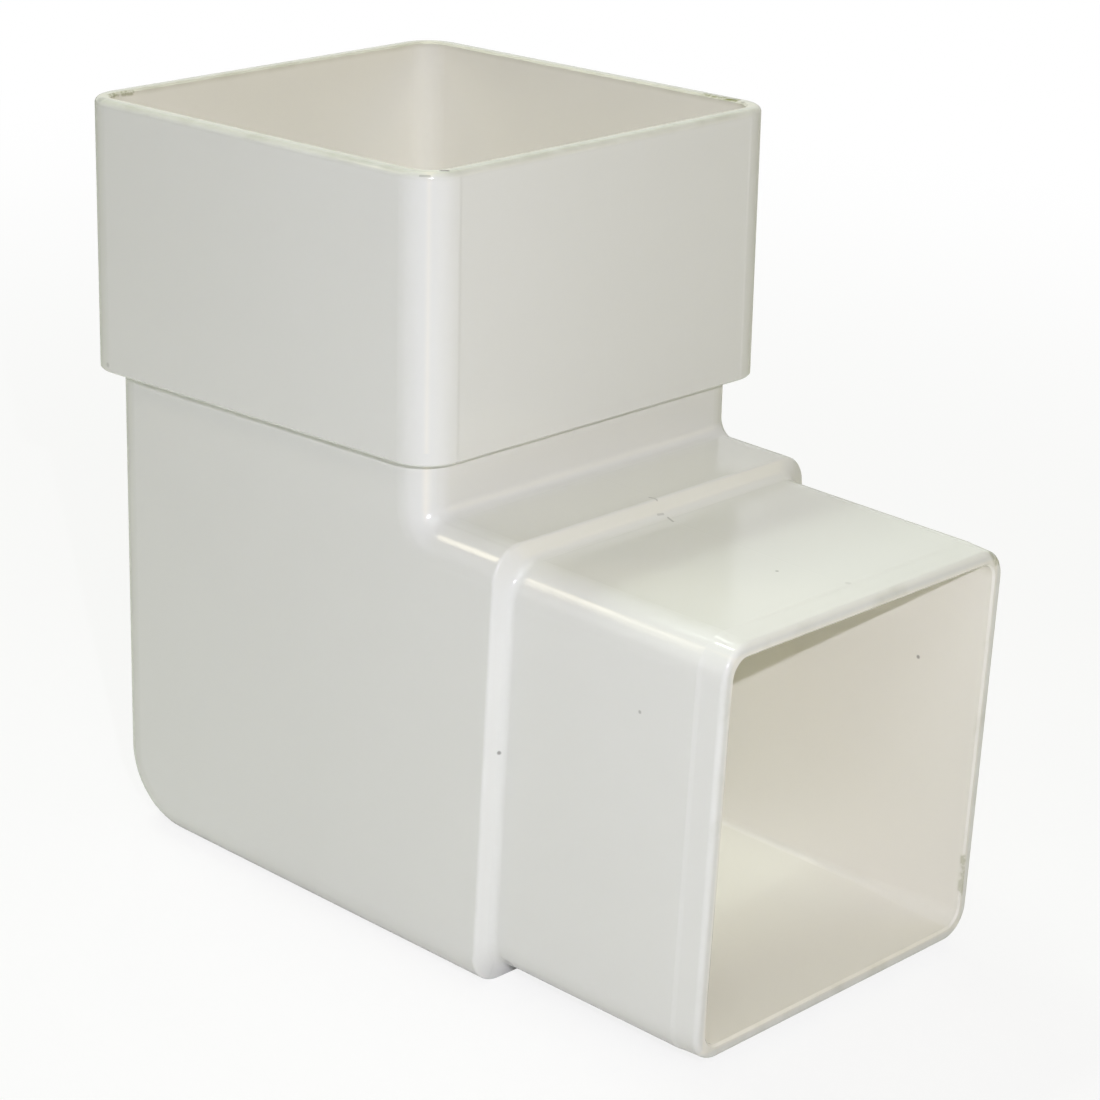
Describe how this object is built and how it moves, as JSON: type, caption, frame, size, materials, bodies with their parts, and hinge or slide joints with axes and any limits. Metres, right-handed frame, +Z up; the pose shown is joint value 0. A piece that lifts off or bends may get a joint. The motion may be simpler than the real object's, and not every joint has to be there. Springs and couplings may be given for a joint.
{
  "type": "downspout elbow",
  "caption": "Square downpipe bend moulded in white plastic: a socket on top takes the pipe, and a shouldered spigot at the side leads the water out at a near right angle.",
  "frame": {"origin": "on the flat base, straight below the point where the axes of the socket and of the outlet cross", "axes": "+X along the outlet, out of the spigot; +Y across the bend; +Z up from the base, with the socket leaning back from it towards -X"},
  "size_m": [0.1206, 0.0704, 0.1133],
  "materials": {
    "white_upvc": "off-white moulded plastic, soft gloss, with faint marks and a little green grime at the open edges"
  },
  "bodies": {
    "root": {"elbow": "white_upvc"}
  },
  "joints": []
}
